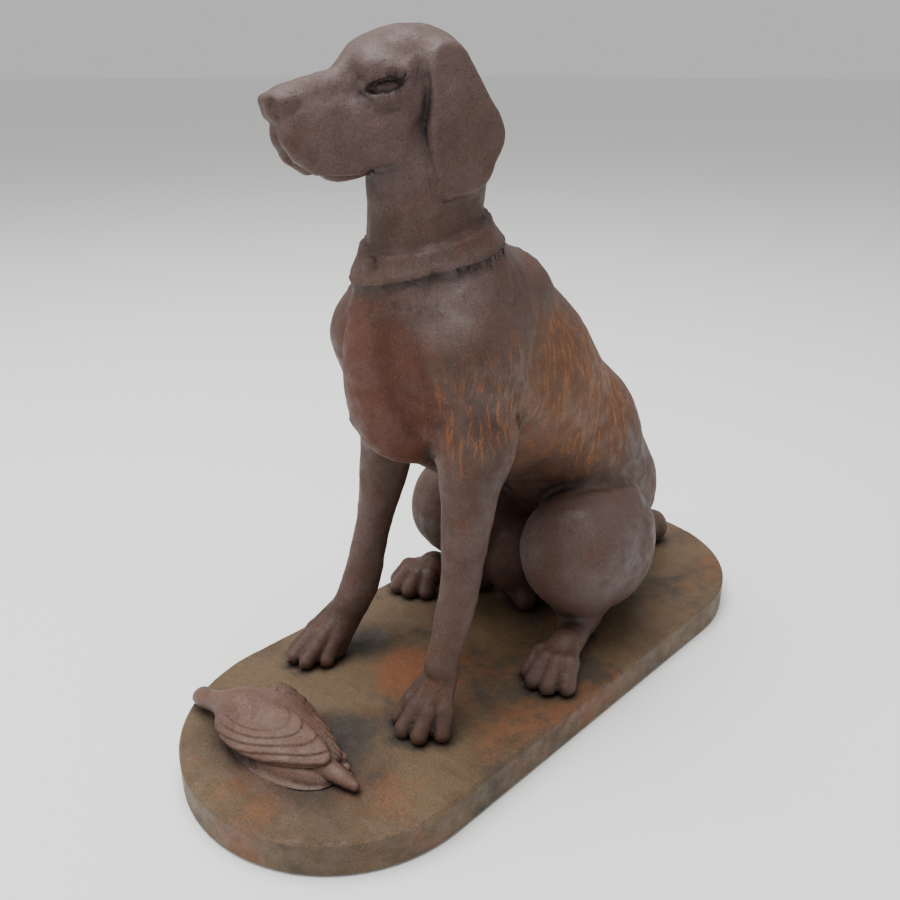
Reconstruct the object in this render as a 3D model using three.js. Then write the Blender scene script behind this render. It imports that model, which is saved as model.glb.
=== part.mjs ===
// A sitting gun dog in cast iron, with a dead game bird laid before it on a round-ended base.
// Millimetres, +Z up. The dog faces -Y and its left side is +X. The origin is the middle of
// the underside of the base.
import * as THREE from "three";
import { edgeTable, triTable } from "three/addons/objects/MarchingCubes.js";

// ---- sizes ---------------------------------------------------------------------------------
const BASE_LENGTH = 955;
const BASE_WIDTH = 400;
const BASE_THICKNESS = 48.4;
const EDGE_ROUNDING = 4;
const HEAD_PLACE = [-15, -186.8, 782];
const HEAD_TURN = [3.7, -3.8, -15.7];
const HEAD_SCALE = 0.92;
const COLLAR_CENTRE = [0, -111, 624];
const COLLAR_TILT = -11.5;
const COLLAR_HEIGHT = 31;
const COLLAR_STAND = 5;
const EAR_BOW = [52, 9];
const EAR_THICKNESS = 17;
const FEATHER_RELIEF = 2.6;
const DOG_TRIANGLES = 7000;
const BIRD_TRIANGLES = 2360;
const FLOOR = BASE_THICKNESS;

// ---- clay: each form is a function giving the distance from its skin -------------------------
const radians = (degrees) => (degrees * Math.PI) / 180;

// Rows of the matrix that tips about X, rolls about Y and then swings about Z.
function turning([tip, roll, swing]) {
  const euler = new THREE.Euler(radians(tip), radians(roll), radians(swing), "ZXY");
  const e = new THREE.Matrix4().makeRotationFromEuler(euler).elements;
  return [e[0], e[4], e[8], e[1], e[5], e[9], e[2], e[6], e[10]];
}

function egg(at, half, turn = [0, 0, 0]) {
  const m = turning(turn);
  const least = Math.min(...half);
  return (x, y, z) => {
    const dx = x - at[0];
    const dy = y - at[1];
    const dz = z - at[2];
    const a = (m[0] * dx + m[3] * dy + m[6] * dz) / half[0];
    const b = (m[1] * dx + m[4] * dy + m[7] * dz) / half[1];
    const c = (m[2] * dx + m[5] * dy + m[8] * dz) / half[2];
    const k = Math.sqrt(a * a + b * b + c * c);
    const g = Math.sqrt((a / half[0]) ** 2 + (b / half[1]) ** 2 + (c / half[2]) ** 2);
    return g < 1e-9 ? -least : Math.max((k * (k - 1)) / g, -least);
  };
}

function limb(from, r0, to, r1) {
  const bx = to[0] - from[0];
  const by = to[1] - from[1];
  const bz = to[2] - from[2];
  const long = bx * bx + by * by + bz * bz;
  return (x, y, z) => {
    const ax = x - from[0];
    const ay = y - from[1];
    const az = z - from[2];
    const t = Math.min(1, Math.max(0, (ax * bx + ay * by + az * bz) / long));
    return Math.hypot(ax - t * bx, ay - t * by, az - t * bz) - (r0 + t * (r1 - r0));
  };
}

function soft(a, b, k) {
  const h = Math.max(k - Math.abs(a - b), 0) / k;
  return Math.min(a, b) - 0.25 * h * h * k;
}

function blend(k, ...forms) {
  return (x, y, z) => {
    let d = forms[0](x, y, z);
    for (let i = 1; i < forms.length; i += 1) d = soft(d, forms[i](x, y, z), k);
    return d;
  };
}

function carve(k, body, ...hollows) {
  return (x, y, z) => {
    let d = body(x, y, z);
    for (const hollow of hollows) d = -soft(-d, hollow(x, y, z), k);
    return d;
  };
}

// A run of tapering limbs through [x, y, z, radius] stations.
function chain(k, ...stations) {
  const pieces = [];
  for (let i = 1; i < stations.length; i += 1) {
    const a = stations[i - 1];
    const b = stations[i];
    pieces.push(limb(a.slice(0, 3), a[3], b.slice(0, 3), b[3]));
  }
  return blend(k, ...pieces);
}

const mirrored = (form) => (x, y, z) => form(Math.abs(x), y, z);

function placed(at, turn, scale, form) {
  const m = turning(turn);
  return (x, y, z) => {
    const dx = (x - at[0]) / scale;
    const dy = (y - at[1]) / scale;
    const dz = (z - at[2]) / scale;
    return (
      scale *
      form(
        m[0] * dx + m[3] * dy + m[6] * dz,
        m[1] * dx + m[4] * dy + m[7] * dz,
        m[2] * dx + m[5] * dy + m[8] * dz,
      )
    );
  };
}

const narrowed = (sx, form) => (x, y, z) => sx * form(x / sx, y, z);

// ---- the dog ---------------------------------------------------------------------------------
const torso = blend(
  40,
  egg([0, -16, 467], [101, 186, 124], [-43.9, 0, 0]),
  egg([0, -70, 412], [52, 150, 86], [-40, 0, 0]),
  egg([0, -150, 480], [66, 80, 108], [-14, 0, 0]),
  egg([0, -198, 535], [28, 37, 60], [-6, 0, 0]),
  egg([0, -142, 580], [57, 62, 42]),
  chain(30, [0, 42, 425, 107], [0, 152, 316, 105], [0, 232, 207, 104]),
  limb([0, -126, 648], 50, [0, -88, 548], 92),
);

const shoulder = (side) =>
  blend(
    34,
    limb([side * 46, -104, 600], 50, [side * 64, -138, 506], 46),
    limb([side * 64, -130, 520], 42, [side * 36, -2, 562], 36),
    limb([side * 69, -138, 508], 44, [side * 86, -122, 398], 37),
  );

const leftForeleg = chain(
  12,
  [86, -130, 400, 37],
  [88, -143, 356, 33.5],
  [88, -147, 299, 30],
  [88, -158, 226, 23.5],
  [88, -168, 200, 24.5],
  [88, -178, 160, 20],
  [88, -190, 128, 22],
);

const rightForeleg = chain(
  12,
  [-100, -96, 350, 37],
  [-103, -106, 296, 31],
  [-105, -125, 235, 22.5],
  [-106, -135, 195, 22.5],
  [-107, -141, 168, 25],
  [-109, -160, 133, 25],
);

// Four toes fanned from a root, each with a knuckle, and claws in front of them.
function paw(root, rootRadius, tips, toeRadius, knuckle) {
  const toes = tips.map(([tx, ty]) => {
    const along = (u, v) => [root[0] + (tx - root[0]) * u, root[1] + (ty - root[1]) * v];
    return chain(
      3,
      [...along(0.35, 0.1), root[2], toeRadius * 0.85],
      [...along(0.74, 0.62), knuckle, toeRadius * 1.05],
      [tx, ty, FLOOR + toeRadius * 0.85, toeRadius],
      [...along(1.04, 1.16), FLOOR + 5, 4],
    );
  });
  const middle = tips.reduce((sum, [x, y]) => [sum[0] + x / 4, sum[1] + y / 4], [0, 0]);
  const sole = [
    root[0] + (middle[0] - root[0]) * 0.55,
    root[1] + (middle[1] - root[1]) * 0.5,
    FLOOR + 14,
  ];
  return blend(8, limb(root, rootRadius, sole, rootRadius * 1.08), blend(2, ...toes));
}

const forepaws = blend(
  4,
  paw([88, -188, 118], 21, [[57, -233], [77, -246], [100, -241], [117, -219]], 11, 82),
  paw([-110, -166, 118], 23, [[-153, -232], [-137, -247], [-117, -243], [-101, -221]], 11, 82),
);

const haunch = (side) =>
  blend(
    30,
    egg([side * 105, 58, 198], [75, 80, 80]),
    egg([side * 90, 128, 176], [80, 92, 104]),
  );

const leftHindLeg = chain(
  12,
  [108, 46, 176, 60],
  [98, 84, 96, 36],
  [102, 82, 74, 25],
  [132, 12, 78, 21],
);

const rightHindLeg = chain(
  12,
  [-110, 40, 190, 60],
  [-85, 84, 92, 36],
  [-90, 82, 74, 28],
  [-135, 30, 78, 23],
);

// Iron left between the hocks and under the seat, where the casting is carried by the base.
const groin = blend(
  16,
  egg([-28, 104, 120], [46, 60, 74]),
  egg([4, 78, 62], [15, 16, 20]),
  egg([0, 200, 112], [98, 96, 68]),
);

const hindpaws = blend(
  4,
  paw([134, 4, 82], 22, [[116, -50], [134, -61], [155, -59], [173, -43]], 12.5, 80),
  paw([-140, 26, 84], 24, [[-124, -6], [-145, -22], [-167, -24], [-183, -10]], 12.5, 80),
);

const tail = chain(
  16,
  [0, 285, 124, 37],
  [16, 348, 92, 29],
  [20, 398, 72, 25],
  [-44, 412, 66, 21],
  [-108, 376, 63, 17],
  [-148, 308, 60, 13],
  [-160, 245, 57, 9],
);

const neck = narrowed(
  0.82,
  chain(20, [-4, -140, 765, 56], [0, -120, 700, 68.5], [0, -120, 640, 70]),
);

const skull = blend(
  20,
  egg([0, 52, 9], [56, 80, 58], [-3, 0, 0]),
  egg([0, 4, 24], [38, 28, 26]),
  limb([0, -18, 9], 22, [0, -104, -3], 15),
  egg([0, -50, -28], [30, 62, 42], [-6, 0, 0]),
  limb([0, 20, -40], 40, [0, 60, -70], 46),
);

const cheeks = mirrored(
  blend(
    14,
    egg([21, -50, -50], [16, 57, 36], [-8, 0, -4]),
    egg([28, 14, -40], [25, 44, 40]),
    egg([40, 26, -4], [16, 40, 13]),
    egg([29, 2, 24], [20, 22, 11], [0, 20, 0]),
  ),
);

const muzzleEnd = blend(
  6,
  mirrored(egg([9, -96, -26], [15, 20, 25])),
  egg([0, -107, -5], [17, 16, 14]),
  mirrored(egg([11, -107, -9], [9, 14, 10])),
  egg([0, -36, -80], [18, 34, 13]),
);

// The eye lies in its own frame: +X looks out of it, +Y runs to its outer corner.
const inEye = (form) => mirrored(placed([41, 2, 4], [0, 0, -31], 1, form));

const lids = blend(
  2,
  chain(3, [0, -18, 0, 3], [3, -7, 8, 3.5], [3, 6, 8, 3.5], [-2, 19, 0, 3]),
  chain(3, [0, -18, 0, 3], [4, -6, -9, 4], [4, 7, -10, 4], [-2, 19, 0, 3]),
);

const face = blend(
  3,
  carve(
    5,
    blend(14, skull, cheeks, muzzleEnd),
    inEye(egg([6, 0, 0], [9, 20, 11])),
    mirrored(egg([8, -122, -9], [4, 7, 5])),
    chain(4, [0, -124, -16, 1.5], [0, -118, -42, 3], [0, -104, -66, 7], [0, -74, -92, 9]),
  ),
  inEye(egg([-8, 0, -1], [12, 15, 11])),
  inEye(lids),
);

// An ear is a flap: its outline, seen from the side, with a slab of iron that bows outwards.
const earOutline = chain(10, [0, 75, 13, 31], [0, 88, -56, 49], [0, 80, -86, 41], [0, 55, -110, 14]);

const ears = mirrored((x, y, z) => {
  const bow = EAR_BOW[0] + EAR_BOW[1] * Math.cos(radians((z + 50) * 1.1)) - 0.06 * (y - 80);
  return -soft(-earOutline(0, y, z), EAR_THICKNESS / 2 - Math.abs(x - bow), 9);
});

const headInPlace = placed(HEAD_PLACE, HEAD_TURN, HEAD_SCALE, blend(6, face, ears));

// A crease runs down each side of the breast, between it and the shoulder.
const breastCrease = mirrored(
  chain(4, [40, -212, 572, 4], [52, -206, 520, 5], [58, -198, 468, 4], [52, -176, 424, 3]),
);

const trunk = carve(9, blend(16, blend(18, neck, torso), shoulder(1), shoulder(-1)), breastCrease);

// The collar lies on the neck between two tipped planes.
function collar(x, y, z) {
  const c = Math.cos(radians(COLLAR_TILT));
  const s = Math.sin(radians(COLLAR_TILT));
  const up = (y - COLLAR_CENTRE[1]) * s + (z - COLLAR_CENTRE[2]) * c;
  const band = Math.abs(up) - COLLAR_HEIGHT / 2;
  return band > 30 ? band : Math.max(trunk(x, y, z) - COLLAR_STAND, band);
}

const buckle = egg([3, -207, 604], [9, 8, 20], [12, 0, 0]);

const dogClay = blend(
  5,
  buckle,
  blend(
    12,
    blend(26, trunk, leftForeleg, rightForeleg),
    haunch(1),
    haunch(-1),
    leftHindLeg,
    rightHindLeg,
    tail,
    groin,
  ),
  headInPlace,
  forepaws,
  hindpaws,
  collar,
);

const aboveFloor = (form) => (x, y, z) => Math.max(form(x, y, z), FLOOR - z);

// ---- the bird --------------------------------------------------------------------------------
const saw = (t) => t - Math.floor(t);

// One wing, flat side up and tip towards +X: long flight feathers follow its edge, and rows of
// short scalloped ones cover its middle.
function wing(at, turn, length, width, depth) {
  const shell = egg([0, 0, 0], [length, width, depth]);
  return placed(at, turn, 1, (x, y, z) => {
    const u = x / length;
    const across = y / (1 - 0.28 * Math.max(-1, Math.min(1, u)));
    const inward = 1 - Math.hypot(u, across / width);
    const flight = saw(-inward / 0.17);
    const scallop = saw(u * 3.1 + 0.26 * Math.cos((9.5 * across) / width));
    const share = Math.min(1, Math.max(0, (inward - 0.42) / 0.08));
    const raised = z > 0 && inward > 0 ? FEATHER_RELIEF * (flight + (scallop - flight) * share) : 0;
    return shell(x, across, z) - raised;
  });
}

const birdBody = blend(
  8,
  egg([-28, -357, 72], [76, 38, 29], [0, 3, 5]),
  egg([-74, -374, 74], [33, 31, 28]),
  limb([-94, -380, 76], 18, [-134, -386, 68], 11),
  egg([-143, -386, 66], [15.5, 13, 12.5], [0, -15, 8]),
  limb([-152, -388, 62], 5, [-162, -391, 55], 2.2),
  limb([40, -354, 66], 16, [102, -348, 57], 8),
);

const birdClay = blend(
  2,
  birdBody,
  wing([-9, -376, 79], [30, 3, 13], 83, 34, 14),
  wing([-2, -328, 75], [-36, 8, -5], 74, 20, 10),
  limb([44, -331, 62], 5, [78, -334, 58], 4),
  limb([44, -339, 60], 5, [80, -343, 56], 4),
  egg([-3, -366, 50], [84, 45, 16], [0, 0, 8]),
  egg([-3, -367, FLOOR], [89, 50, 5], [0, 0, 8]),
);

// ---- skin: the zero level of a form, cell by cell ---------------------------------------------
function gridLines(low, high, stepAt) {
  const lines = [low];
  for (let at = low; at < high; lines.push(at)) at += stepAt(at);
  return lines;
}

function skin(form, lines) {
  const n = lines.map((l) => l.length);
  const at = (i, j, k) => (k * n[1] + j) * n[0] + i;
  const field = new Float64Array(n[0] * n[1] * n[2]).fill(NaN);
  const value = (i, j, k) => {
    const c = at(i, j, k);
    if (Number.isNaN(field[c])) {
      const d = form(lines[0][i], lines[1][j], lines[2][k]);
      field[c] = Math.abs(d) < 0.02 ? 0.02 : d;
    }
    return field[c];
  };
  const points = [];
  const seen = new Map();
  const faces = [];
  const corner = [[0, 0, 0], [1, 0, 0], [1, 1, 0], [0, 1, 0], [0, 0, 1], [1, 0, 1], [1, 1, 1], [0, 1, 1]];
  const level = [0, 1, 2, 3].map((c) => [c, (c + 1) % 4]);
  const upright = [0, 1, 2, 3].map((c) => [c, c + 4]);
  const rim = [...level, ...level.map(([a, b]) => [a + 4, b + 4]), ...upright];
  const vertexOn = (i, j, k, e) => {
    const [a, b] = rim[e].map((c) => [i + corner[c][0], j + corner[c][1], k + corner[c][2]]);
    const apart = Math.abs(at(...a) - at(...b));
    const key = Math.min(at(...a), at(...b)) * 4 + (apart === 1 ? 0 : apart === n[0] ? 1 : 2);
    if (!seen.has(key)) {
      const va = value(...a);
      const t = va / (va - value(...b));
      seen.set(key, points.length / 3);
      for (let d = 0; d < 3; d += 1) points.push(lines[d][a[d]] + t * (lines[d][b[d]] - lines[d][a[d]]));
    }
    return seen.get(key);
  };
  const block = 4;
  for (let K = 0; K < n[2] - 1; K += block) {
    for (let J = 0; J < n[1] - 1; J += block) {
      for (let I = 0; I < n[0] - 1; I += block) {
        const end = [I, J, K].map((v, d) => Math.min(v + block, n[d] - 1));
        const span = [I, J, K].map((v, d) => [lines[d][v], lines[d][end[d]]]);
        const reach = Math.hypot(...span.map(([a, b]) => b - a)) * 0.7;
        if (Math.abs(form(...span.map(([a, b]) => (a + b) / 2))) > reach) continue;
        for (let k = K; k < end[2]; k += 1) {
          for (let j = J; j < end[1]; j += 1) {
            for (let i = I; i < end[0]; i += 1) {
              let kind = 0;
              for (let c = 0; c < 8; c += 1) {
                if (value(i + corner[c][0], j + corner[c][1], k + corner[c][2]) < 0) kind |= 1 << c;
              }
              if (edgeTable[kind] === 0) continue;
              for (let t = kind * 16; triTable[t] !== -1; t += 3) {
                faces.push([0, 2, 1].map((s) => vertexOn(i, j, k, triTable[t + s])));
              }
            }
          }
        }
      }
    }
  }
  return { points, faces };
}

// ---- thinning: edges fold away, cheapest first, until the count is reached ---------------------
function thin({ points, faces }, wanted, weight) {
  const count = points.length / 3;
  const quadric = new Float64Array(count * 10);
  const around = Array.from({ length: count }, () => new Set());
  const tri = faces.map((f) => f.slice());
  const alive = new Uint8Array(tri.length).fill(1);
  const normal = (a, b, c) => {
    const ux = points[b * 3] - points[a * 3];
    const uy = points[b * 3 + 1] - points[a * 3 + 1];
    const uz = points[b * 3 + 2] - points[a * 3 + 2];
    const vx = points[c * 3] - points[a * 3];
    const vy = points[c * 3 + 1] - points[a * 3 + 1];
    const vz = points[c * 3 + 2] - points[a * 3 + 2];
    return [uy * vz - uz * vy, uz * vx - ux * vz, ux * vy - uy * vx];
  };
  tri.forEach(([a, b, c], f) => {
    const m = normal(a, b, c);
    const size = Math.hypot(...m);
    const w = (size / 2) * weight(points[a * 3], points[a * 3 + 1], points[a * 3 + 2]);
    const [nx, ny, nz] = size > 1e-12 ? m.map((v) => v / size) : [0, 0, 0];
    const d = -(nx * points[a * 3] + ny * points[a * 3 + 1] + nz * points[a * 3 + 2]);
    const q = [nx * nx, nx * ny, nx * nz, nx * d, ny * ny, ny * nz, ny * d, nz * nz, nz * d, d * d];
    for (const v of [a, b, c]) {
      around[v].add(f);
      for (let i = 0; i < 10; i += 1) quadric[v * 10 + i] += w * q[i];
    }
  });
  const stamp = new Int32Array(count);
  const heap = [];
  const push = (item) => {
    heap.push(item);
    let i = heap.length - 1;
    while (i > 0) {
      const p = (i - 1) >> 1;
      if (heap[p][0] <= heap[i][0]) break;
      [heap[p], heap[i]] = [heap[i], heap[p]];
      i = p;
    }
  };
  const pop = () => {
    const top = heap[0];
    const last = heap.pop();
    if (heap.length > 0) {
      heap[0] = last;
      let i = 0;
      for (;;) {
        const l = 2 * i + 1;
        const r = l + 1;
        let s = i;
        if (l < heap.length && heap[l][0] < heap[s][0]) s = l;
        if (r < heap.length && heap[r][0] < heap[s][0]) s = r;
        if (s === i) break;
        [heap[s], heap[i]] = [heap[i], heap[s]];
        i = s;
      }
    }
    return top;
  };
  const cost = (q, x, y, z) =>
    q[0] * x * x + 2 * q[1] * x * y + 2 * q[2] * x * z + 2 * q[3] * x +
    q[4] * y * y + 2 * q[5] * y * z + 2 * q[6] * y + q[7] * z * z + 2 * q[8] * z + q[9];
  const offer = (a, b) => {
    const q = new Float64Array(10);
    for (let i = 0; i < 10; i += 1) q[i] = quadric[a * 10 + i] + quadric[b * 10 + i];
    const A = [points[a * 3], points[a * 3 + 1], points[a * 3 + 2]];
    const B = [points[b * 3], points[b * 3 + 1], points[b * 3 + 2]];
    const M = A.map((v, i) => (v + B[i]) / 2);
    const span = Math.hypot(A[0] - B[0], A[1] - B[1], A[2] - B[2]);
    const tie = 1e-4 * (q[0] + q[4] + q[7]) + 1e-9;
    const a00 = q[0] + tie;
    const a11 = q[4] + tie;
    const a22 = q[7] + tie;
    const r0 = -q[3] + tie * M[0];
    const r1 = -q[6] + tie * M[1];
    const r2 = -q[8] + tie * M[2];
    const c0 = a11 * a22 - q[5] * q[5];
    const c1 = q[2] * q[5] - q[1] * a22;
    const c2 = q[1] * q[5] - q[2] * a11;
    const det = a00 * c0 + q[1] * c1 + q[2] * c2;
    let best = M;
    if (Math.abs(det) > 1e-12) {
      const x = (c0 * r0 + c1 * r1 + c2 * r2) / det;
      const y = (c1 * r0 + (a00 * a22 - q[2] * q[2]) * r1 + (q[1] * q[2] - a00 * q[5]) * r2) / det;
      const z = (c2 * r0 + (q[1] * q[2] - a00 * q[5]) * r1 + (a00 * a11 - q[1] * q[1]) * r2) / det;
      if (Math.hypot(x - M[0], y - M[1], z - M[2]) < 1.5 * span + 1) best = [x, y, z];
    }
    const e = Math.max(0, cost(q, ...best)) + 1e-7 * span * span * span;
    push([e, a, b, stamp[a] + stamp[b], best]);
  };
  const ring = (v) => {
    const out = new Set();
    for (const f of around[v]) for (const w of tri[f]) if (w !== v) out.add(w);
    return out;
  };
  const done = new Set();
  for (const [a, b, c] of tri) {
    for (const [p, q] of [[a, b], [b, c], [c, a]]) {
      const key = Math.min(p, q) * count + Math.max(p, q);
      if (done.has(key)) continue;
      done.add(key);
      offer(p, q);
    }
  }
  let left = tri.length;
  while (left > wanted && heap.length > 0) {
    const [, a, b, mark, best] = pop();
    if (stamp[a] < 0 || stamp[b] < 0 || stamp[a] + stamp[b] !== mark) continue;
    const ra = ring(a);
    const rb = ring(b);
    if (!ra.has(b)) continue;
    let shared = 0;
    for (const v of ra) if (rb.has(v)) shared += 1;
    if (shared !== 2 || ra.size + rb.size - 4 < 3) continue;
    let folds = false;
    for (const [v, other] of [[a, b], [b, a]]) {
      for (const f of around[v]) {
        if (tri[f].includes(other)) continue;
        const before = normal(...tri[f]);
        const keep = points.slice(v * 3, v * 3 + 3);
        for (let d = 0; d < 3; d += 1) points[v * 3 + d] = best[d];
        const after = normal(...tri[f]);
        for (let d = 0; d < 3; d += 1) points[v * 3 + d] = keep[d];
        const lb = Math.hypot(...before);
        const la = Math.hypot(...after);
        const dot = before[0] * after[0] + before[1] * after[1] + before[2] * after[2];
        if (la < 0.02 || dot < 0.25 * la * lb) folds = true;
      }
    }
    if (folds) continue;
    for (let d = 0; d < 3; d += 1) points[a * 3 + d] = best[d];
    for (let i = 0; i < 10; i += 1) quadric[a * 10 + i] += quadric[b * 10 + i];
    for (const f of [...around[b]]) {
      if (tri[f].includes(a)) {
        alive[f] = 0;
        for (const v of tri[f]) around[v].delete(f);
        left -= 1;
      } else {
        tri[f] = tri[f].map((v) => (v === b ? a : v));
        around[a].add(f);
      }
    }
    around[b].clear();
    const next = ring(a);
    stamp[a] += 1;
    stamp[b] = -1e9;
    for (const v of next) offer(a, v);
  }
  return { points, faces: tri.filter((_, f) => alive[f]) };
}

function meshOf(name, { points, faces }, colour) {
  const position = [];
  for (const face of faces) {
    for (const v of face) {
      position.push(points[v * 3], points[v * 3 + 1], Math.max(points[v * 3 + 2], FLOOR));
    }
  }
  const geometry = new THREE.BufferGeometry();
  geometry.setAttribute("position", new THREE.Float32BufferAttribute(position, 3));
  geometry.computeVertexNormals();
  const material = new THREE.MeshStandardMaterial({ color: colour, roughness: 0.8, metalness: 0.35 });
  const mesh = new THREE.Mesh(geometry, material);
  mesh.name = name;
  return mesh;
}

function baseMesh() {
  const r = BASE_WIDTH / 2 - EDGE_ROUNDING;
  const run = BASE_LENGTH / 2 - BASE_WIDTH / 2;
  const outline = new THREE.Shape();
  outline.absarc(0, run, r, 0, Math.PI, false);
  outline.absarc(0, -run, r, Math.PI, 2 * Math.PI, false);
  outline.closePath();
  const geometry = new THREE.ExtrudeGeometry(outline, {
    depth: BASE_THICKNESS - 2 * EDGE_ROUNDING,
    bevelEnabled: true,
    bevelSize: EDGE_ROUNDING,
    bevelThickness: EDGE_ROUNDING,
    bevelSegments: 1,
    curveSegments: 19,
  });
  geometry.translate(0, 0, EDGE_ROUNDING);
  const material = new THREE.MeshStandardMaterial({ color: 0x5a4630, roughness: 0.85, metalness: 0.3 });
  const mesh = new THREE.Mesh(geometry, material);
  mesh.name = "base";
  return mesh;
}

const dogLines = [
  gridLines(-214, 214, () => 4.6),
  gridLines(-345, 458, (y) => (y < -40 ? 4.2 : 6.5)),
  gridLines(FLOOR - 5, 862, (z) => (z < 125 || z > 690 ? 3.6 : 7)),
];
const birdLines = [
  gridLines(-180, 125, () => 2.3),
  gridLines(-428, -298, () => 2.3),
  gridLines(FLOOR - 5, 118, () => 2.3),
];
const dogCare = (x, y, z) => {
  if (z > 700 && y < -120) return 10;
  if (z > 590) return 3;
  return z < 125 && y < 20 ? 4 : 1;
};

const statue = new THREE.Group();
statue.name = "cast_iron_dog_statue";
statue.add(baseMesh());
statue.add(meshOf("dog", thin(skin(aboveFloor(dogClay), dogLines), DOG_TRIANGLES, dogCare), 0x4a3028));
statue.add(meshOf("bird", thin(skin(aboveFloor(birdClay), birdLines), BIRD_TRIANGLES, () => 1), 0x5a3c38));

export default statue;
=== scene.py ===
"""A sitting gun dog in rusted cast iron, with a dead game bird before it on a round-ended base.

Blender works in metres. The clay below is measured in millimetres, in the same frame: +Z up,
the dog faces -Y and its left side is +X.
"""
import math

import bmesh
import bpy
import numpy as np
from mathutils import Euler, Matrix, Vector


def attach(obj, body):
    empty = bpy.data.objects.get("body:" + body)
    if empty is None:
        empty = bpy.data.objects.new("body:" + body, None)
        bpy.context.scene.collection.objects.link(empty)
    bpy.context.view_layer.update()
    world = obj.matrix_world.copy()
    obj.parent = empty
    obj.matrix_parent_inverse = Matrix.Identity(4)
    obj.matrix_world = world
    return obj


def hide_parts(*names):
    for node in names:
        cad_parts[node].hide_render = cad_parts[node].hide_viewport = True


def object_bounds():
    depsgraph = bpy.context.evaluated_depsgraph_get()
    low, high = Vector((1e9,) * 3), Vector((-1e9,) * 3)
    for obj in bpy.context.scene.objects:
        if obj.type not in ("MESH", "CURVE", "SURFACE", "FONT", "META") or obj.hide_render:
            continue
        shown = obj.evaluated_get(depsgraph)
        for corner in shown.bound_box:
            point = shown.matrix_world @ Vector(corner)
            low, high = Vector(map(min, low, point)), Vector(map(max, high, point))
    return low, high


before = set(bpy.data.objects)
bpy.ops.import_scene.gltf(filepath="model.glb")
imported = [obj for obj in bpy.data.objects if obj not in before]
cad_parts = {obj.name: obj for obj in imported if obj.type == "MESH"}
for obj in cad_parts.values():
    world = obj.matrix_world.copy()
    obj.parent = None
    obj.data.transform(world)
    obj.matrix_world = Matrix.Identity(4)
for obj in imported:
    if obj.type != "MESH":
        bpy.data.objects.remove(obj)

cad_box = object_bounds()

# ---- sizes in millimetres ----------------------------------------------------------------------
FLOOR = 48.4
HEAD_PLACE = (-15, -186.8, 782)
HEAD_TURN = (3.7, -3.8, -15.7)
HEAD_SCALE = 0.92
COLLAR_CENTRE = (0, -111, 629)
COLLAR_TILT = -13.5
COLLAR_HEIGHT = 25
COLLAR_STAND = 6
EAR_THICKNESS = 17
FEATHER_RELIEF = 2.6
DOG_GRAIN = 5.05
BIRD_GRAIN = 1.5
SLAB_SQUARE = 8
STROKE_REACH = 25
CAST_REACH = 12
SETTLING_ROUNDS = 4
LONGEST_MOVE = 7

# ---- the camera, in metres and degrees ---------------------------------------------------------
CAMERA_PLACE = (0.7277, -0.8414, 0.8061)
CAMERA_DIP = 23.15
CAMERA_SWING = 43.79


# ---- clay: each form gives every point's distance from its skin, negative inside ---------------
def turning(turn):
    """Rows of the matrix that tips about X, rolls about Y and then swings about Z."""
    tip, roll, swing = (math.radians(a) for a in turn)
    rx = np.array([[1, 0, 0], [0, math.cos(tip), -math.sin(tip)], [0, math.sin(tip), math.cos(tip)]])
    ry = np.array([[math.cos(roll), 0, math.sin(roll)], [0, 1, 0], [-math.sin(roll), 0, math.cos(roll)]])
    rz = np.array([[math.cos(swing), -math.sin(swing), 0], [math.sin(swing), math.cos(swing), 0], [0, 0, 1]])
    return rz @ rx @ ry


def egg(at, half, turn=(0, 0, 0)):
    rows = turning(turn)
    at, half = np.array(at, float), np.array(half, float)

    def form(p):
        q = (p - at) @ rows / half
        k = np.sqrt((q * q).sum(1))
        g = np.sqrt(((q / half) ** 2).sum(1))
        return np.maximum(k * (k - 1) / np.maximum(g, 1e-9), -half.min())

    return form


def limb(start, r0, end, r1):
    start = np.array(start, float)
    way = np.array(end, float) - start
    length = way @ way

    def form(p):
        a = p - start
        t = np.clip(a @ way / length, 0, 1)
        a = a - t[:, None] * way
        return np.sqrt((a * a).sum(1)) - (r0 + t * (r1 - r0))

    return form


def block(at, half, rounding, turn=(0, 0, 0)):
    """A box with well rounded edges."""
    rows = turning(turn)
    core = np.array(half, float) - rounding

    def form(p):
        q = np.abs((p - np.array(at, float)) @ rows) - core
        outside = np.sqrt((np.maximum(q, 0) ** 2).sum(1))
        return outside + np.minimum(q.max(1), 0) - rounding

    return form


def soft(a, b, k):
    h = np.maximum(k - np.abs(a - b), 0) / k
    return np.minimum(a, b) - 0.25 * k * h * h


def blend(k, *forms):
    def form(p):
        d = forms[0](p)
        for other in forms[1:]:
            d = soft(d, other(p), k)
        return d

    return form


def carve(k, body, *hollows):
    def form(p):
        d = body(p)
        for hollow in hollows:
            d = -soft(-d, hollow(p), k)
        return d

    return form


def chain(k, *stations):
    """A run of tapering limbs through (x, y, z, radius) stations."""
    return blend(k, *(limb(a[:3], a[3], b[:3], b[3]) for a, b in zip(stations, stations[1:])))


def line(*points):
    """The distance from a bent line through the points."""
    pieces = [limb(a, 0, b, 0) for a, b in zip(points, points[1:])]
    return lambda p: np.min([piece(p) for piece in pieces], axis=0)


def mirrored(form):
    return lambda p: form(p * np.where(p[:, :1] < 0, [-1, 1, 1], [1, 1, 1]))


def placed(at, turn, scale, form):
    rows = turning(turn)
    return lambda p: scale * form((p - np.array(at, float)) @ rows / scale)


def narrowed(sx, form):
    return lambda p: sx * form(p / [sx, 1, 1])


def near(centre, reach, form):
    """The form where it matters: beyond reach from the centre only a rough distance is given."""
    centre = np.array(centre, float)

    def cheap(p):
        d = np.sqrt(((p - centre) ** 2).sum(1)) - reach + 45
        close = d < 45
        if close.any():
            d[close] = form(p[close])
        return d

    return cheap


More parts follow.
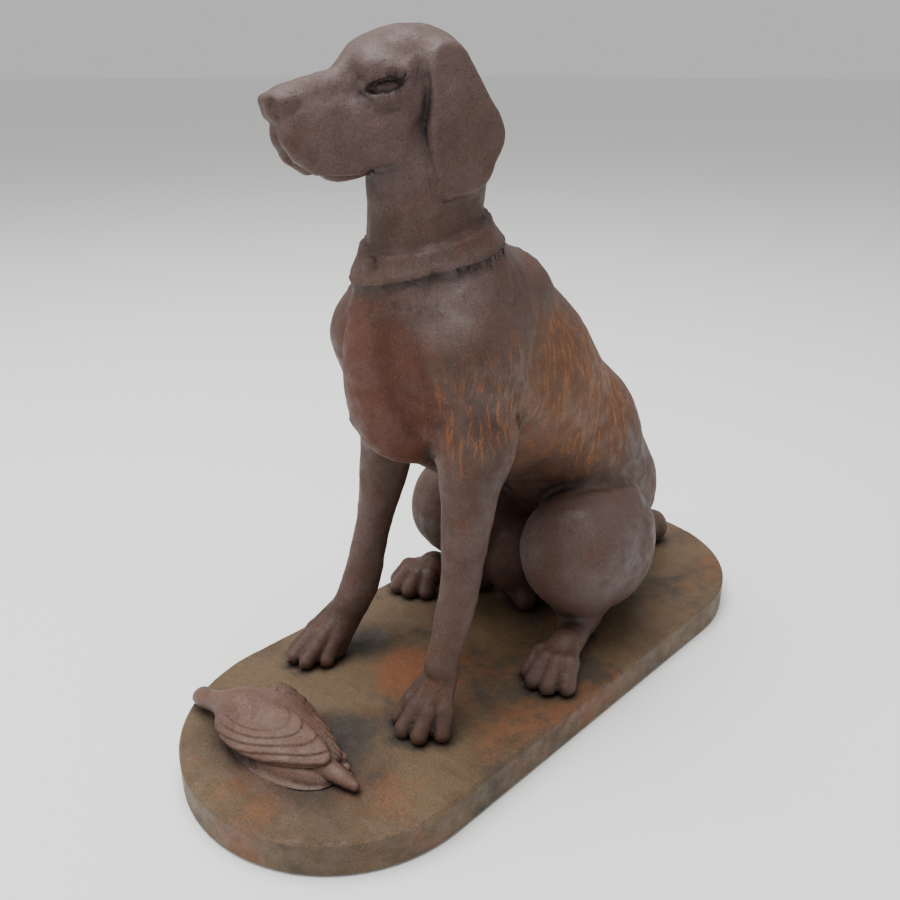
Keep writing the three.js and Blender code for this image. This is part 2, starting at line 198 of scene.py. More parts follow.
def tooled(body, *strokes):
    """Strokes of (form, width, height): each raises the skin by height along a form, or cuts it in
    where the height is negative."""

    def form(p):
        d = body(p)
        skin = np.abs(d) < STROKE_REACH
        if skin.any():
            q = p[skin]
            for stroke, width, height in strokes:
                d[skin] -= height * np.exp(-((np.maximum(stroke(q), 0) / width) ** 2))
        return d

    return form


def spot(x, y, z):
    """The distance from one point."""
    return lambda p: np.sqrt(((p - [x, y, z]) ** 2).sum(1))


def lumps(size, seed):
    """Soft irregular noise between about -1 and 1, from turned waves."""
    rng = np.random.default_rng(seed)
    waves = [(rng.normal(size=3), rng.uniform(0, 6.3), rng.uniform(0.6, 1.5)) for _ in range(14)]

    def noise(p):
        total = 0
        for way, phase, rate in waves:
            way = way / np.linalg.norm(way)
            warp = 1.7 * np.sin(p @ way[[1, 2, 0]] * (4.1 / size))
            total = total + np.sin(p @ way * (6.28 * rate / size) + phase + warp)
        return total / 4

    return noise


# ---- the dog -----------------------------------------------------------------------------------
torso = blend(
    40,
    egg([0, -16, 467], [101, 186, 124], [-43.9, 0, 0]),
    egg([0, -70, 412], [52, 150, 86], [-40, 0, 0]),
    egg([0, -150, 480], [66, 80, 108], [-14, 0, 0]),
    egg([0, -192, 535], [28, 37, 60], [-6, 0, 0]),
    egg([0, -142, 580], [57, 62, 42]),
    chain(30, (0, 42, 425, 107), (0, 152, 316, 105), (0, 232, 207, 104)),
    limb([0, -126, 648], 50, [0, -88, 548], 92),
)


def shoulder(side):
    return blend(
        34,
        limb([side * 46, -100, 590], 44, [side * 67, -143, 510], 47),
        limb([side * 64, -130, 520], 42, [side * 36, -2, 556], 36),
        limb([side * 71, -138, 508], 43, [side * 87, -124, 398], 38),
        limb([side * 78, -100, 500], 38, [side * 84, -70, 440], 34),
    )


left_foreleg = chain(
    1,
    (86, -130, 400, 38),
    (88, -141, 356, 35.5),
    (88, -144, 320, 31.5),
    (88, -150, 280, 28),
    (88, -154, 240, 24),
    (88, -159, 215, 24),
    (88, -170, 183, 22.5),
    (88, -181, 153, 20.5),
    (88, -192, 128, 20),
)

right_foreleg = chain(
    1,
    (-100, -96, 350, 38),
    (-103, -106, 296, 32),
    (-105, -122, 235, 24),
    (-106, -135, 195, 24),
    (-107, -140, 172, 25.5),
    (-108, -150, 144, 26),
    (-109, -168, 118, 24),
)


def paw(root, root_radius, tips, toe_radius, knuckle):
    """Four toes fanned from a root, each with a knuckle, and claws in front of them."""
    root = np.array(root, float)
    toes = []
    claws = []
    for tip in np.array(tips, float):
        way = tip - root[:2]

        def along(u, v):
            return root[0] + way[0] * u, root[1] + way[1] * v

        toes.append(
            chain(
                3,
                (*along(0.35, 0.1), root[2], toe_radius * 0.85),
                (*along(0.74, 0.62), knuckle, toe_radius * 1.05),
                (*tip, FLOOR + toe_radius * 0.85, toe_radius),
            )
        )
        claws.append(
            chain(
                2,
                (*along(1.02, 1.07), FLOOR + toe_radius * 1.05, 3.6),
                (*along(1.04, 1.15), FLOOR + 6, 2.6),
                (*along(1.04, 1.18), FLOOR + 2, 1.6),
            )
        )
    middle = np.mean(tips, axis=0)
    sole = (*(root[:2] + (middle - root[:2]) * [0.55, 0.5]), FLOOR + 14)
    body = blend(5, limb(root, root_radius, sole, root_radius * 1.08), blend(1.6, *toes))
    return near((*middle, 80), 140, blend(1.5, body, *claws))


forepaws = blend(
    4,
    paw([88, -188, 118], 21, [[57, -233], [77, -246], [100, -241], [117, -219]], 11, 82),
    paw([-110, -166, 118], 23, [[-153, -232], [-137, -247], [-117, -243], [-101, -221]], 11, 82),
)

hind_paws = blend(
    4,
    paw([134, 4, 82], 22, [[116, -50], [134, -61], [155, -59], [173, -43]], 12.5, 80),
    paw([-140, 26, 84], 24, [[-124, -6], [-145, -22], [-167, -24], [-183, -10]], 12.5, 80),
)


def haunch(side):
    return blend(
        30,
        egg([side * 105, 58, 198], [75, 80, 80]),
        egg([side * 90, 128, 176], [80, 92, 104]),
    )


left_hind_leg = chain(12, (108, 46, 176, 60), (98, 84, 96, 36), (102, 82, 74, 25), (132, 12, 78, 21))
right_hind_leg = chain(12, (-110, 40, 190, 60), (-85, 84, 92, 36), (-90, 82, 74, 28), (-135, 30, 78, 23))

# Iron left between the hocks and under the seat, where the casting is carried by the base.
groin = blend(
    16,
    egg([-28, 104, 120], [46, 60, 74]),
    egg([4, 78, 62], [15, 16, 20]),
    egg([0, 200, 112], [98, 96, 68]),
)

tail = chain(
    16,
    (0, 285, 124, 37),
    (16, 348, 92, 29),
    (20, 398, 72, 25),
    (-44, 412, 66, 21),
    (-108, 376, 63, 17),
    (-148, 308, 60, 13),
    (-160, 245, 57, 9),
)

neck = narrowed(0.82, chain(20, (-4, -140, 765, 56), (0, -120, 700, 68.5), (0, -120, 640, 70)))

skull = blend(
    20,
    egg([0, 52, 9], [56, 80, 58], [-3, 0, 0]),
    egg([0, 4, 24], [38, 28, 26]),
    limb([0, -18, 9], 22, [0, -100, -3], 16),
    egg([0, -50, -28], [30, 62, 42], [-6, 0, 0]),
    limb([0, 20, -40], 40, [0, 60, -70], 46),
)

cheeks = mirrored(
    blend(
        14,
        egg([21, -50, -48], [16, 57, 36], [-8, 0, -4]),
        egg([28, 14, -40], [25, 44, 40]),
        egg([40, 26, -4], [16, 40, 13]),
        egg([29, 2, 24], [20, 22, 11], [0, 20, 0]),
    )
)

# The flews hang as two rounded lips with a dark gap between them; the chin shows below.
flews = mirrored(
    blend(
        8,
        egg([11, -96, -30], [14, 19, 22]),
        chain(4, (14, -105, -40, 9), (16, -96, -57, 10), (16, -78, -70, 11)),
    )
)
chin = egg([0, -40, -80], [14, 32, 12])
gap = chain(
    2,
    (0, -126, -26, 1.6),
    (0, -120, -41, 5),
    (0, -113, -55, 9),
    (0, -98, -70, 10.5),
    (0, -76, -86, 8),
)

leather = blend(
    4,
    block([0, -107, -4], [15, 18, 13.5], 7, [10, 0, 0]),
    mirrored(egg([15, -103, -3], [9, 12, 9])),
)
nostrils = mirrored(
    blend(
        2,
        egg([17, -121, -5], [5, 7, 4.5]),
        chain(
            1,
            (17, -119, -8, 2.6),
            (23, -111, -13, 2.2),
            (26, -101, -15, 1.8),
            (26, -92, -9, 1.5),
            (24, -89, 0, 1),
        ),
    )
)


def in_eye(form):
    """The eye lies in its own frame: +X looks out of it, +Y runs to its outer corner."""
    return mirrored(placed([41, 2, 4], [0, 0, -31], 1, form))


upper_lid = in_eye(chain(3, (1, -24, 2, 4), (6, -10, 10, 5.5), (6.5, 6, 10.5, 6), (1, 23, 2, 4.5)))
lower_lid = in_eye(chain(3, (1, -24, -1, 4), (5.5, -9, -10, 4.5), (6.5, 7, -11, 5), (1, 23, -1, 4.5)))
eye_opening = in_eye(egg([9, -1, -1], [10, 21, 7.5], [6, 0, 0]))
eyeball = in_eye(tooled(egg([-5, 2, -3], [12.8, 19, 12.5]), (spot(7.5, 1, -1), 4.5, -0.8)))
brow = mirrored(limb([32, -12, 25], 9, [50, 18, 14], 10))

face = tooled(
    blend(
        0.8,
        carve(
            1.2,
            carve(
                2.5,
                blend(
                    7,
                    blend(9, blend(14, skull, cheeks, brow), flews, chin),
                    leather,
                    upper_lid,
                    lower_lid,
                ),
                nostrils,
                gap,
            ),
            eye_opening,
        ),
        eyeball,
    ),
    (mirrored(line([31, -22, 30], [26, -31, 17], [30, -34, 4])), 11, -1.8),
    (mirrored(line([34, -33, -8], [39, -32, -30], [40, -30, -52])), 12, 1.3),
    (mirrored(line([32, -46, -24], [37, -52, -44], [36, -54, -60])), 10, -1.7),
    (mirrored(spot(30, -90, -31)), 10, -1.8),
    (mirrored(spot(29, -88, -54)), 13, 1.6),
    (mirrored(line([38, -32, -39], [44, -20, -34])), 10, -1.2),
    (mirrored(line([47, -8, -25], [54, 8, -18])), 7, -1.6),
    (mirrored(line([50, 14, -30], [54, 34, -24])), 10, 1.6),
    (mirrored(line([44, -6, -60], [46, 20, -50], [52, 34, -40])), 9, -2),
    (mirrored(line([17, -76, -80], [17, -40, -86], [17, -12, -84])), 3, -2.6),
    (mirrored(line([34, -28, 46], [44, 4, 50], [48, 30, 48])), 9, 1.2),
    (line([0, -2, 52], [0, 30, 68], [0, 60, 70]), 7, -1.4),
    (line([0, -40, 24], [0, -70, 18], [0, -96, 14]), 8, -0.9),
)

# An ear is a flap: its outline, seen from the side, with a slab of iron that bows outwards.
ear_outline = blend(
    6,
    chain(6, (0, 75, 12, 30), (0, 86, -57, 48), (0, 80, -82, 39), (0, 54, -110, 12)),
    limb([0, 80, -82], 36, [0, 91, -90], 28),
    limb([0, 56, -109], 13, [0, 76, -102], 19),
)


def ear(p):
    bow = 52 + 9 * np.cos(np.radians((p[:, 2] + 50) * 1.1)) - 0.06 * (p[:, 1] - 80)
    bow = bow + 2.2 * np.sin(p[:, 2] * 0.045 + p[:, 1] * 0.03)
    edge = ear_outline(p * [0, 1, 1])
    rolled = 1.2 * np.exp(-(((p[:, 1] - 42) / 9) ** 2))
    return -soft(-edge, EAR_THICKNESS / 2 + rolled - np.abs(p[:, 0] - bow), 8)


ears = mirrored(ear)


def eared_face(p):
    """The ears grow smoothly out of the skull at their roots and hang free lower down."""
    return soft(face(p), ears(p), 3 + 15 * np.clip((p[:, 2] + 5) / 40, 0, 1))


head = near(HEAD_PLACE, 230, placed(HEAD_PLACE, HEAD_TURN, HEAD_SCALE, eared_face))

# A deep crease runs down each side of the breast, between it and the shoulder.
breast_crease = mirrored(
    chain(
        1,
        (38, -222, 578, 14),
        (48, -219, 545, 18),
        (54, -216, 507, 20),
        (59, -209, 472, 18),
        (57, -191, 431, 11),
    )
)

trunk = carve(
    14,
    blend(26, blend(18, neck, torso), shoulder(1), shoulder(-1)),
    breast_crease,
)


def collar(p):
    """The collar lies on the neck between two tipped planes, with a rolled rim along each edge."""
    c, s = math.cos(math.radians(COLLAR_TILT)), math.sin(math.radians(COLLAR_TILT))
    up = (p[:, 1] - COLLAR_CENTRE[1]) * s + (p[:, 2] - COLLAR_CENTRE[2]) * c
    band = np.abs(up) - COLLAR_HEIGHT / 2
    out = np.array(band)
    close = band < 30
    if close.any():
        rim = 0.5 * np.exp(-(((np.abs(up[close]) - COLLAR_HEIGHT / 2 + 3) / 2.2) ** 2))
        out[close] = -soft(-(trunk(p[close]) - COLLAR_STAND - rim), -band[close], 2)
    return out


buckle = egg([4, -209, 607], [9, 8, 17], [16, 0, 0])

plain_dog = blend(
    3,
    buckle,
    blend(
        12,
        blend(26, trunk, left_foreleg, right_foreleg),
        haunch(1),
        haunch(-1),
        left_hind_leg,
        right_hind_leg,
        tail,
        groin,
    ),
    head,
    forepaws,
    hind_paws,
    collar,
)

# On each side: the fold between flank and thigh, the hollow behind the thigh, and the neck's cord.
dog_clay = tooled(
    plain_dog,
    (mirrored(line([47, 44, 276], [91, 50, 277], [112, 108, 277], [120, 160, 262])), 6, -3.5),
    (mirrored(line([137, 173, 243], [168, 125, 210], [174, 99, 176], [158, 96, 130])), 10, -2.5),
    (mirrored(line([40, -176, 700], [44, -168, 655])), 9, -2.5),
)

rough_cast = lumps(34, 3)
fine_cast = lumps(11, 8)


def ring(centre, tilt, height, jitter):
    """A level band round the body, tipped about X, wandering by jitter."""
    wander = lumps(40, 21)
    c, s = math.cos(math.radians(tilt)), math.sin(math.radians(tilt))

    def form(p):
        up = (p[:, 1] - centre[1]) * s + (p[:, 2] - centre[2]) * c
        return np.abs(up + jitter * wander(p)) - height

    return form


weld_lumps = lumps(9, 5)


def welded(body):
    """Where the castings are joined, a low rough bead of metal goes round: under the collar, at
    the elbows and above the wrist."""
    under_collar = ring((0, -111, 579), -8, 3, 7)
    elbow = ring((0, -140, 386), -4, 2, 4)
    wrist = ring((0, -180, 196), 12, 1, 2)

    def form(p):
        d = body(p)
        skin = (np.abs(d) < CAST_REACH) & (p[:, 2] > 150) & (p[:, 2] < 640)
        if skin.any():
            q = p[skin]
            bead = np.exp(-((np.maximum(under_collar(q), 0) / 5) ** 2)) * (q[:, 2] > 540)
            legs = (q[:, 1] < -60) & (np.abs(q[:, 0]) > 44)
            bead += 0.8 * np.exp(-((np.maximum(elbow(q), 0) / 5) ** 2)) * legs
            bead += 0.7 * np.exp(-((np.maximum(wrist(q), 0) / 3) ** 2)) * legs * (q[:, 0] > 0)
            d[skin] -= bead * (0.7 + 0.9 * weld_lumps(q))
        return d

    return form


def standing(form, cast=0.4):
    """The form above the base, with the uneven skin of sand-cast iron."""

    def cast_form(p):
        d = form(p)
        skin = np.abs(d) < CAST_REACH
        if skin.any():
            q = p[skin]
            d[skin] -= cast * rough_cast(q) + 0.35 * cast * fine_cast(q)
        return np.maximum(d, FLOOR + 0.2 - p[:, 2])

    return cast_form


# ---- the bird ----------------------------------------------------------------------------------
def saw(t):
    return t - np.floor(t)


def wing(at, turn, length, width, depth):
    """One wing, flat side up and tip towards +X: long flight feathers follow its edge, and rows of
    short scalloped ones cover its middle."""
    shell = egg([0, 0, 0], [length, width, depth])

    def form(p):
        u = p[:, 0] / length
        across = p[:, 1] / (1 - 0.28 * np.clip(u, -1, 1))
        inward = 1 - np.hypot(u, across / width)
        outer = np.hypot((u + 0.45) / 1.45, (across / width - 0.5) / 1.5)
        flight = saw(outer / 0.155 + 0.12 * np.sin(5 * u))
        scallop = saw(u * 2.6 + 0.3 * np.sin(4.2 * across / width + 3 * u))
        share = np.clip((0.5 - outer) / 0.12, 0, 1)
        barbs = 0.16 * np.sin((u * length + 2.2 * np.abs(across)) * 2.2)
        raised = FEATHER_RELIEF * (flight * (1 - share) + 0.6 * scallop * share) + barbs
        flat = np.stack([p[:, 0], across, p[:, 2]], axis=1)
        return shell(flat) - np.where((p[:, 2] > 0) & (inward > 0), raised, 0)

    return placed(at, turn, 1, form)


bird_body = blend(
    8,
    egg([-28, -357, 72], [76, 38, 29], [0, 3, 5]),
    egg([-74, -374, 74], [33, 31, 28]),
    limb([-94, -380, 76], 18, [-134, -386, 68], 11),
    egg([-143, -386, 66], [15.5, 13, 12.5], [0, -15, 8]),
    limb([-152, -388, 62], 5, [-162, -391, 55], 2.2),
    limb([44, -358, 64], 17, [106, -348, 56], 6),
)

bird_clay = blend(
    1.2,
    bird_body,
    wing([-9, -376, 79], [30, 3, 13], 83, 34, 14),
    wing([-2, -328, 75], [-36, 8, -5], 74, 20, 10),
    chain(2, (-54, -327, 82, 5), (3, -333, 79, 6), (40, -335, 70, 6), (66, -338, 62, 5)),
    blend(
        2,
        egg([62, -331, 60], [9, 6, 6]),
        egg([76, -337, 57], [8, 6, 6]),
        egg([87, -341, 54], [7, 5, 5]),
    ),
    egg([-4, -364, 46], [85, 40, 34], [0, 0, 8]),
    egg([-3, -366, FLOOR], [87, 47, 4], [0, 0, 8]),
)


# ---- casting: a copy of the solid, made fine and settled onto the clay --------------------------
def merged_copy(node, name):
    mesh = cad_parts[node].data.copy()
    bm = bmesh.new()
    bm.from_mesh(mesh)
    bmesh.ops.remove_doubles(bm, verts=bm.verts, dist=1e-6)
    bm.to_mesh(mesh)
    bm.free()
    mesh.materials.clear()
    piece = bpy.data.objects.new(name, mesh)
    bpy.context.scene.collection.objects.link(piece)
    return piece


def remeshed(piece, grain):
    """An even skin of squares, grain millimetres wide."""
    remesh = piece.modifiers.new("even_skin", "REMESH")
    remesh.mode = "VOXEL"
    remesh.voxel_size = grain / 1000
    evaluated = piece.evaluated_get(bpy.context.evaluated_depsgraph_get())
    mesh = bpy.data.meshes.new_from_object(evaluated)
    piece.modifiers.clear()
    piece.data = mesh


def refined(piece, wanted):
    """Splits the squares in four wherever wanted(x, y, z), in millimetres, says so."""
    bm = bmesh.new()
    bm.from_mesh(piece.data)
    edges = set()
    for face in bm.faces:
        if wanted(*(face.calc_center_median() * 1000)):
            edges.update(face.edges)
    bmesh.ops.subdivide_edges(bm, edges=list(edges), cuts=1, use_grid_fill=True)
    bm.to_mesh(piece.data)
    bm.free()


def points_of(mesh):
    flat = np.empty(len(mesh.vertices) * 3)
    mesh.vertices.foreach_get("co", flat)
    return flat.reshape(-1, 3) * 1000


def slope(form, p, step=0.6):
    """Distance and steepest way out, from four nearby samples."""
    corners = np.array([[1, -1, -1], [-1, -1, 1], [-1, 1, -1], [1, 1, 1]], float)
    samples = [form(p + step * corner) for corner in corners]
    way = sum(sample[:, None] * corner for sample, corner in zip(samples, corners)) / (4 * step)
    return np.mean(samples, axis=0), way


def settled(piece, form):
    """Moves every vertex onto the form's skin, evening them out once on the way, and marks how
    hollow the form is there in a point attribute. That attribute is painted as shade in the
    hollows and as lighter worn edges on the ridges."""
    mesh = piece.data
    p = points_of(mesh)
    for turn in range(SETTLING_ROUNDS):
        d, way = slope(form, p)
        size = np.maximum((way * way).sum(1), 0.16)
        p -= way * (np.clip(d, -LONGEST_MOVE, LONGEST_MOVE) / size)[:, None]
        if turn == 0:
            mesh.vertices.foreach_set("co", (p / 1000).ravel())
            bm = bmesh.new()
            bm.from_mesh(mesh)
            bmesh.ops.smooth_vert(
                bm, verts=bm.verts, factor=0.5, use_axis_x=True, use_axis_y=True, use_axis_z=True
            )
            bm.to_mesh(mesh)
            bm.free()
            p = points_of(mesh)
    mesh.vertices.foreach_set("co", (p / 1000).ravel())
    d, way = slope(form, p)
    way /= np.maximum(np.linalg.norm(way, axis=1), 1e-6)[:, None]
    # How hollow the form is at two reaches: positive in hollows, which are painted as shade, and negative on
    # ridges, which are painted as worn edges.
    hollow = np.zeros(len(p))
    for reach in (4, 14):
        hollow += np.clip(1 - form(p + way * reach) / reach, -1, 1) / 2
    shade_and_weathering = mesh.attributes.new("shade_and_weathering", "FLOAT", "POINT")
    shade_and_weathering.data.foreach_set("value", hollow.astype(np.float32))
    mesh.polygons.foreach_set("use_smooth", np.ones(len(mesh.polygons), bool))
    mesh.update()


# ---- finishes ----------------------------------------------------------------------------------
class Finish:
    """Paints rusted iron in layers, on the piece's own coordinates in metres."""

    def __init__(self, name):
        self.material = bpy.data.materials.new(name)
        self.material.use_nodes = True
        self.tree = self.material.node_tree
        self.shader = self.tree.nodes["Principled BSDF"]
        self.place = self.node("ShaderNodeTexCoord").outputs["Object"]

    def node(self, kind, **settings):
        made = self.tree.nodes.new(kind)
        for key, value in settings.items():
            setattr(made, key, value)
        return made

    def feed(self, socket, value):
        if isinstance(value, bpy.types.NodeSocket):
            self.tree.links.new(value, socket)
        else:
            socket.default_value = value

    def stretched(self, scale):
        mapping = self.node("ShaderNodeMapping")
        mapping.inputs["Scale"].default_value = scale
        self.feed(mapping.inputs["Vector"], self.place)
        return mapping.outputs["Vector"]

    def grain(self, scale, detail=4, roughness=0.6, place=None):
        noise = self.node("ShaderNodeTexNoise")
        self.feed(noise.inputs["Vector"], place or self.place)
        noise.inputs["Scale"].default_value = scale
        noise.inputs["Detail"].default_value = detail
        noise.inputs["Roughness"].default_value = roughness
        return noise.outputs[0]

    def cells(self, scale):
        voronoi = self.node("ShaderNodeTexVoronoi")
        self.feed(voronoi.inputs["Vector"], self.place)
        voronoi.inputs["Scale"].default_value = scale
        return voronoi.outputs["Distance"]

    def between(self, value, low, high, start=0.0, end=1.0):
        ease = self.node("ShaderNodeMapRange", interpolation_type="SMOOTHSTEP")
        self.feed(ease.inputs["Value"], value)
        for key, number in (("From Min", low), ("From Max", high), ("To Min", start), ("To Max", end)):
            ease.inputs[key].default_value = number
        return ease.outputs["Result"]

    def sum(self, operation, a, b):
        node = self.node("ShaderNodeMath", operation=operation)
        self.feed(node.inputs[0], a)
        self.feed(node.inputs[1], b)
        return node.outputs[0]

    def around(self, x, y, z, reach, ragged=0.6):
        """A patch round a point, in millimetres, with a ragged edge."""
        away = self.node("ShaderNodeVectorMath", operation="DISTANCE")
        self.feed(away.inputs[0], self.place)
        away.inputs[1].default_value = (x / 1000, y / 1000, z / 1000)
        ragging = self.sum("MULTIPLY", self.sum("SUBTRACT", self.cloud, 0.5), ragged * 2 * reach / 1000)
        reached = self.sum("ADD", away.outputs["Value"], ragging)
        return self.between(reached, reach * 1.15 / 1000, reach * 0.45 / 1000)

    def coat(self, under, colour, amount):
        mix = self.node("ShaderNodeMix", data_type="RGBA")
        self.feed(mix.inputs[0], amount)
        self.feed(mix.inputs[6], under)
        self.feed(mix.inputs[7], colour)
        return mix.outputs[2]

    def part(self, mask, share):
        return self.sum("MULTIPLY", mask, share)


def shade(red, green, blue):
    """A colour given as 0 to 255 per channel."""
    return (*((c / 255) ** 2.2 for c in (red, green, blue)), 1)


def rusted(name, ground, clouds, patches, streaks=0.0, speck=0.35):
    """Cast iron gone to rust: a ground colour, clouded, with patches laid on, run streaks and pits,
    with painted shade darkening its hollows and lighter worn edges on its ridges.

    clouds are (colour, scale, low, high, share); patches are (colour, places, share), each place
    an (x, y, z, reach) in millimetres.
    """
    f = Finish(name)
    f.cloud = f.grain(26, detail=5)
    colour = ground
    for tint, scale, low, high, share in clouds:
        mask = f.between(f.grain(scale, detail=6, roughness=0.65), low, high)
        colour = f.coat(colour, tint, f.part(mask, share))
    for tint, places, share in patches:
        for x, y, z, reach in places:
            colour = f.coat(colour, tint, f.part(f.around(x, y, z, reach), share))
    if streaks:
        runs = f.grain(1, detail=5, roughness=0.6, place=f.stretched((150, 150, 14)))
        fine = f.grain(1, detail=3, roughness=0.6, place=f.stretched((420, 420, 26)))
        runs = f.sum("MULTIPLY", f.between(runs, 0.46, 0.62), f.between(fine, 0.35, 0.6))
        for x, y, z, reach in ((95, 30, 440, 115), (90, 110, 400, 120), (90, -120, 450, 85)):
            mask = f.sum("MULTIPLY", runs, f.around(x, y, z, reach))
            colour = f.coat(colour, shade(132, 78, 30), f.part(mask, streaks))
    # Painted shade: the colour is darkened towards near black in hollows and creases, and on the base where
    # the dog and the bird stand close to it. On the base this darkening also stands for the stains round the
    # paws. Ridges are lightened as worn edges.
    shade_and_weathering = f.node("ShaderNodeAttribute", attribute_name="shade_and_weathering").outputs["Fac"]
    colour = f.coat(colour, shade(26, 17, 12), f.between(shade_and_weathering, 0.1, 0.75, 0, 0.85))
    colour = f.coat(colour, shade(118, 96, 88), f.between(shade_and_weathering, -0.12, -0.6, 0, 0.3))
    mottle = f.grain(420, detail=3, roughness=0.7)
    colour = f.coat(colour, shade(36, 25, 20), f.between(mottle, 0.52, 0.36, 0, speck))
    colour = f.coat(colour, shade(122, 94, 78), f.between(mottle, 0.56, 0.72, 0, speck))
    pits = f.between(f.cells(300), 0.32, 0.12)
    pitted = f.sum("MULTIPLY", pits, f.between(f.grain(60), 0.45, 0.6))
    colour = f.coat(colour, shade(24, 17, 14), f.part(pitted, 0.5))
    f.feed(f.shader.inputs["Base Color"], colour)
    f.feed(f.shader.inputs["Roughness"], f.between(f.grain(45, detail=4), 0.3, 0.7, 0.5, 0.78))
    f.shader.inputs["Metallic"].default_value = 0.0
    bump = f.node("ShaderNodeBump")
    sand = f.part(f.grain(900, detail=4, roughness=0.7), 0.6)
    height = f.sum("ADD", sand, f.part(f.grain(140, detail=4), 1.0))
    height = f.sum("SUBTRACT", height, f.part(pitted, 0.7))
    f.feed(bump.inputs["Height"], height)
    bump.inputs["Strength"].default_value = 0.5
    bump.inputs["Distance"].default_value = 0.0012
    f.feed(f.shader.inputs["Normal"], bump.outputs["Normal"])
    return f.material


dog_iron = rusted(
    "rusted dog iron",
    shade(74, 52, 42),
    [
        (shade(58, 38, 28), 9, 0.45, 0.62, 0.6),
        (shade(86, 66, 62), 14, 0.5, 0.66, 0.6),
        (shade(84, 48, 32), 31, 0.52, 0.68, 0.5),
    ],
    [
        (shade(86, 68, 64), [(-15, -180, 800, 150)], 0.7),
        (shade(82, 40, 24), [(0, -215, 500, 95), (20, -190, 430, 80)], 0.8),
        (shade(88, 72, 68), [(60, -150, 570, 62), (0, -60, 590, 80)], 0.7),
        (shade(98, 62, 34), [(100, 0, 440, 120), (90, 100, 400, 110)], 0.6),
        (shade(78, 62, 58), [(130, 80, 200, 110)], 0.6),
        (shade(92, 56, 34), [(60, 250, 220, 60)], 0.5),
    ],
    streaks=0.9,
)
base_iron = rusted(
    "rusted base iron",
    shade(92, 74, 52),
    [
        (shade(72, 54, 36), 6, 0.46, 0.6, 0.7),
        (shade(112, 68, 38), 8, 0.54, 0.68, 0.6),
        (shade(54, 50, 42), 11, 0.53, 0.66, 0.7),
    ],
    [
        (shade(118, 66, 34), [(-10, -150, 48, 60)], 0.7),
        (shade(46, 42, 36), [(20, -300, 48, 50), (-110, -150, 48, 50)], 0.7),
    ],
)
bird_iron = rusted(
    "rusted bird iron",
    shade(96, 70, 58),
    [
        (shade(78, 54, 44), 20, 0.45, 0.62, 0.6),
        (shade(108, 84, 80), 30, 0.5, 0.66, 0.5),
    ],
    [],
)

# ---- the pieces --------------------------------------------------------------------------------
dog = merged_copy("dog", "dog_casting")
remeshed(dog, DOG_GRAIN)
refined(dog, lambda x, y, z: (z > 690 and y < -70) or (z < 118 and y < 20))
refined(dog, lambda x, y, z: z > 745 and z < 810 and y < -178 and y > -240)
settled(dog, standing(welded(dog_clay)))

bird = merged_copy("bird", "bird_casting")
remeshed(bird, BIRD_GRAIN)
settled(bird, standing(bird_clay, 0.3))


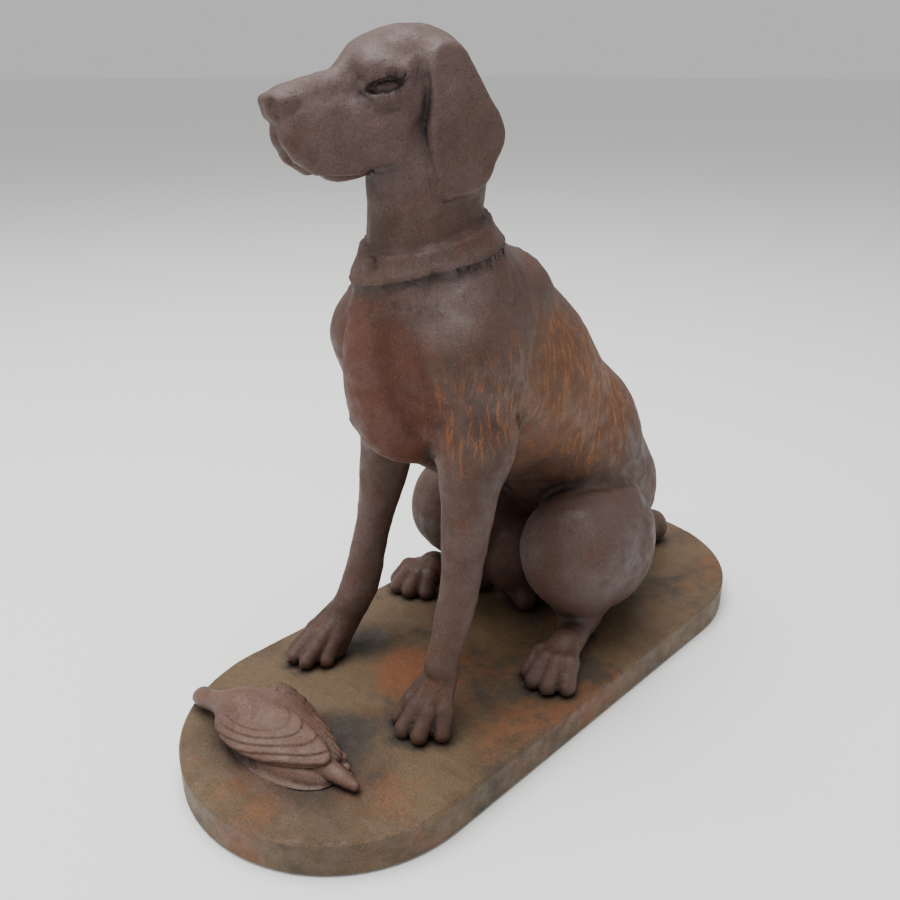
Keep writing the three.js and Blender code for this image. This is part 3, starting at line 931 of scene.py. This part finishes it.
def slab():
    """The base, cut into squares so that its top can carry the unevenness of the mould."""
    piece = merged_copy("base", "base_casting")
    bm = bmesh.new()
    bm.from_mesh(piece.data)
    low, high = cad_box
    spacing = SLAB_SQUARE / 1000
    for axis in (0, 1):
        normal = Vector([float(axis == 0), float(axis == 1), 0])
        for cut in np.arange(low[axis] + spacing, high[axis], spacing):
            geometry = bm.verts[:] + bm.edges[:] + bm.faces[:]
            bmesh.ops.bisect_plane(bm, geom=geometry, plane_co=normal * float(cut), plane_no=normal)
    bm.to_mesh(piece.data)
    bm.free()
    p = points_of(piece.data)
    swell = 0.9 * lumps(120, 11)(p) + 0.5 * lumps(36, 12)(p) + 0.25 * lumps(14, 13)(p)
    p[:, 2] += np.where(p[:, 2] > FLOOR - 1, swell - 0.8, 0)
    piece.data.vertices.foreach_set("co", (p / 1000).ravel())
    # Painted contact shade, together with the stains round the feet: the base is marked darker the closer
    # the dog and the bird come to it.
    reach = np.maximum(dog_clay(p + [0, 0, 6]), -1)
    near_bird = np.maximum(bird_clay(p + [0, 0, 4]), -1)
    shade_and_weathering = piece.data.attributes.new("shade_and_weathering", "FLOAT", "POINT")
    touching = np.exp(-np.minimum(reach, near_bird) / 9) * 0.7
    shade_and_weathering.data.foreach_set("value", touching.astype(np.float32))
    return piece


base = slab()

for piece, node, iron in ((dog, "dog", dog_iron), (bird, "bird", bird_iron), (base, "base", base_iron)):
    piece.data.materials.append(iron)
    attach(piece, "root")
    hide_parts(node)


# ---- the studio --------------------------------------------------------------------------------
def studio_floor():
    mesh = bpy.data.meshes.new("studio_floor")
    bm = bmesh.new()
    bmesh.ops.create_grid(bm, x_segments=1, y_segments=1, size=60)
    bm.to_mesh(mesh)
    bm.free()
    floor = bpy.data.objects.new("studio_floor", mesh)
    bpy.context.scene.collection.objects.link(floor)
    paint = bpy.data.materials.new("pale floor")
    paint.use_nodes = True
    shader = paint.node_tree.nodes["Principled BSDF"]
    shader.inputs["Base Color"].default_value = (0.9, 0.9, 0.89, 1)
    shader.inputs["Roughness"].default_value = 0.9
    mesh.materials.append(paint)


def lamp(name, at, aim, size, power):
    light = bpy.data.lights.new(name, "AREA")
    light.size = size
    light.energy = power
    holder = bpy.data.objects.new(name, light)
    holder.location = at
    holder.rotation_euler = (Vector(aim) - Vector(at)).to_track_quat("-Z", "Y").to_euler()
    bpy.context.scene.collection.objects.link(holder)


studio_floor()
lamp("sky_light", (-0.3, -0.6, 4.0), (0, 0, 0.4), 3.2, 260)
lamp("front_light", (-1.4, -3.0, 2.6), (0, -0.1, 0.45), 1.6, 34)
world = bpy.data.worlds.new("studio_air")
world.use_nodes = True
world.node_tree.nodes["Background"].inputs["Color"].default_value = (1, 1, 1, 1)
world.node_tree.nodes["Background"].inputs["Strength"].default_value = 0.58
bpy.context.scene.world = world

lens = bpy.data.cameras.new("camera")
lens.sensor_width = 36
lens.lens = 36
lens.clip_start = 0.01
camera = bpy.data.objects.new("camera", lens)
camera.rotation_mode = "QUATERNION"
camera.location = CAMERA_PLACE
aim = Euler((math.radians(90 - CAMERA_DIP), 0, math.radians(CAMERA_SWING)), "XYZ")
camera.rotation_quaternion = aim.to_quaternion()
bpy.context.scene.collection.objects.link(camera)
bpy.context.scene.camera = camera
